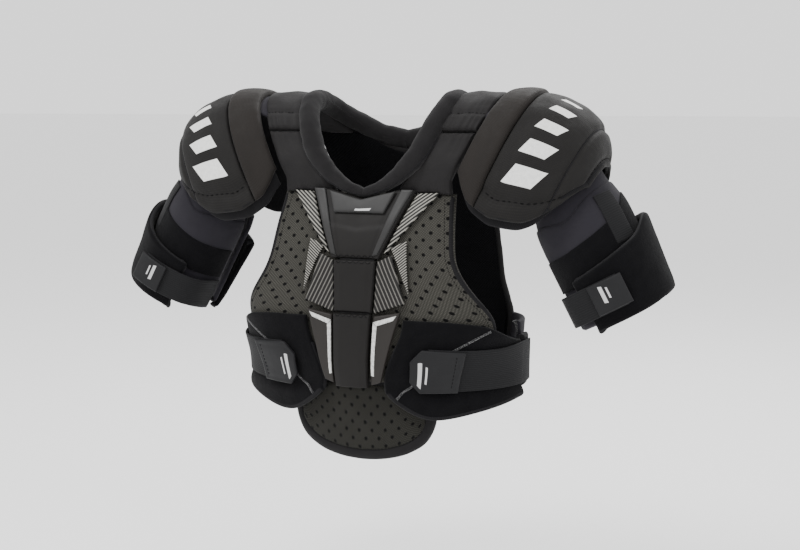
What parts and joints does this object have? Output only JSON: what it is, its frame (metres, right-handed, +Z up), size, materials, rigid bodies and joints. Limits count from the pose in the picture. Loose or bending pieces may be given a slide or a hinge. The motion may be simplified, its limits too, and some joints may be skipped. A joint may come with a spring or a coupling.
{
  "type": "hockey shoulder pads",
  "caption": "Padded ice hockey shoulder pads with hinged shoulder caps, bicep guards, a segmented sternum guard, a belly flap and side closing straps.",
  "frame": {"origin": "middle of the neck opening, level with the underside of the yoke where it rests on the wearer's shoulders", "axes": "+Z up, +X to the wearer's left, -Y to the front"},
  "size_m": [0.7346, 0.2413, 0.4491],
  "materials": {
    "knit_chest": "perforated sport knit over foam",
    "knit_belly": "perforated sport knit over foam, darker",
    "knit_collar": "soft charcoal knit over a padded roll",
    "nylon_black": "woven nylon cover over foam",
    "mesh_liner": "brushed inner mesh",
    "plush": "brushed loop fabric",
    "binding": "folded woven edge binding",
    "neoprene": "smooth stretch neoprene",
    "elastic": "ribbed elastic webbing",
    "moulded_black": "satin moulded film on foam",
    "moulded_grey": null,
    "silver_print": "black film with fine silver lines",
    "rubber_tab": "moulded pull tab",
    "hard_insert": "thin moulded polyethylene shell"
  },
  "bodies": {
    "torso": {"back_panel": "nylon_black", "back_liner": "mesh_liner", "spine_guard": "nylon_black", "front_liner": "mesh_liner", "chest_panel": "knit_chest", "sternum_plate": "hard_insert", "sternum_shield": "moulded_black", "sternum_badge": "moulded_grey", "sternum_block_upper": "moulded_black", "sternum_block_lower": "moulded_black", "rib_panel_left": "silver_print", "rib_panel_right": "silver_print", "stripe_panel_left": "silver_print", "stripe_panel_right": "silver_print", "hatch_panel_left": "silver_print", "hatch_panel_right": "silver_print", "wing_panel_left": "moulded_black", "wing_panel_right": "moulded_black", "collar_left": "knit_collar", "collar_right": "knit_collar", "shoulder_block_left": "nylon_black", "shoulder_block_right": "nylon_black", "clavicle_panel_left": "nylon_black", "clavicle_panel_right": "nylon_black", "plush_lobe_left": "plush", "plush_lobe_right": "plush", "side_wing_left": "neoprene", "side_wing_right": "neoprene", "strap_anchor_left": "elastic", "strap_anchor_right": "elastic", "cap_tether_left": "elastic", "cap_tether_right": "elastic"},
    "belly_flap": {"belly_pad": "knit_belly", "belly_binding": "binding"},
    "cap_left": {"cap_roll_left": "nylon_black", "cap_shell_left": "nylon_black", "cap_insert_left": "hard_insert", "cap_liner_left": "binding"},
    "cap_right": {"cap_roll_right": "nylon_black", "cap_shell_right": "nylon_black", "cap_insert_right": "hard_insert", "cap_liner_right": "binding"},
    "arm_left": {"bicep_guard_left": "neoprene", "bicep_wrap_left": "plush", "arm_webbing_left": "elastic"},
    "arm_right": {"bicep_guard_right": "neoprene", "bicep_wrap_right": "plush", "arm_webbing_right": "elastic"},
    "arm_strap_left": {"bicep_strap_left": "elastic", "bicep_tab_left": "rubber_tab"},
    "arm_strap_right": {"bicep_strap_right": "elastic", "bicep_tab_right": "rubber_tab"},
    "side_strap_left": {"waist_strap_left": "elastic", "waist_tab_left": "rubber_tab"},
    "side_strap_right": {"waist_strap_right": "elastic", "waist_tab_right": "rubber_tab"}
  },
  "joints": [
    {"name": "belly_flex", "type": "hinge", "parent": "torso", "child": "belly_flap", "pos_m": [0, -0.096, -0.324], "axis": [1, 0, 0], "range_deg": [-8, 20]},
    {"name": "cap_lift_left", "type": "hinge", "parent": "torso", "child": "cap_left", "pos_m": [0.1565, 0, 0.027], "axis": [0, -1, 0], "range_deg": [0, 50]},
    {"name": "arm_swing_left", "type": "hinge", "parent": "cap_left", "child": "arm_left", "pos_m": [0.25, 0, -0.095], "axis": [0, -1, 0], "range_deg": [-10, 25]},
    {"name": "arm_strap_peel_left", "type": "hinge", "parent": "arm_left", "child": "arm_strap_left", "pos_m": [0.2414, -0.0154, -0.2342], "axis": [0.4695, 0, -0.8829], "range_deg": [0, 75]},
    {"name": "side_strap_peel_left", "type": "hinge", "parent": "torso", "child": "side_strap_left", "pos_m": [0.1822, -0.0125, -0.298], "axis": [0, 0, 1], "range_deg": [0, 100]},
    {"name": "cap_lift_right", "type": "hinge", "parent": "torso", "child": "cap_right", "pos_m": [-0.1565, 0, 0.027], "axis": [0, 1, 0], "range_deg": [0, 50]},
    {"name": "arm_swing_right", "type": "hinge", "parent": "cap_right", "child": "arm_right", "pos_m": [-0.25, 0, -0.095], "axis": [0, 1, 0], "range_deg": [-10, 25]},
    {"name": "arm_strap_peel_right", "type": "hinge", "parent": "arm_right", "child": "arm_strap_right", "pos_m": [-0.2414, -0.0154, -0.2342], "axis": [0.4695, 0, 0.8829], "range_deg": [0, 75]},
    {"name": "side_strap_peel_right", "type": "hinge", "parent": "torso", "child": "side_strap_right", "pos_m": [-0.1822, -0.0125, -0.298], "axis": [0, 0, -1], "range_deg": [0, 100]}
  ]
}
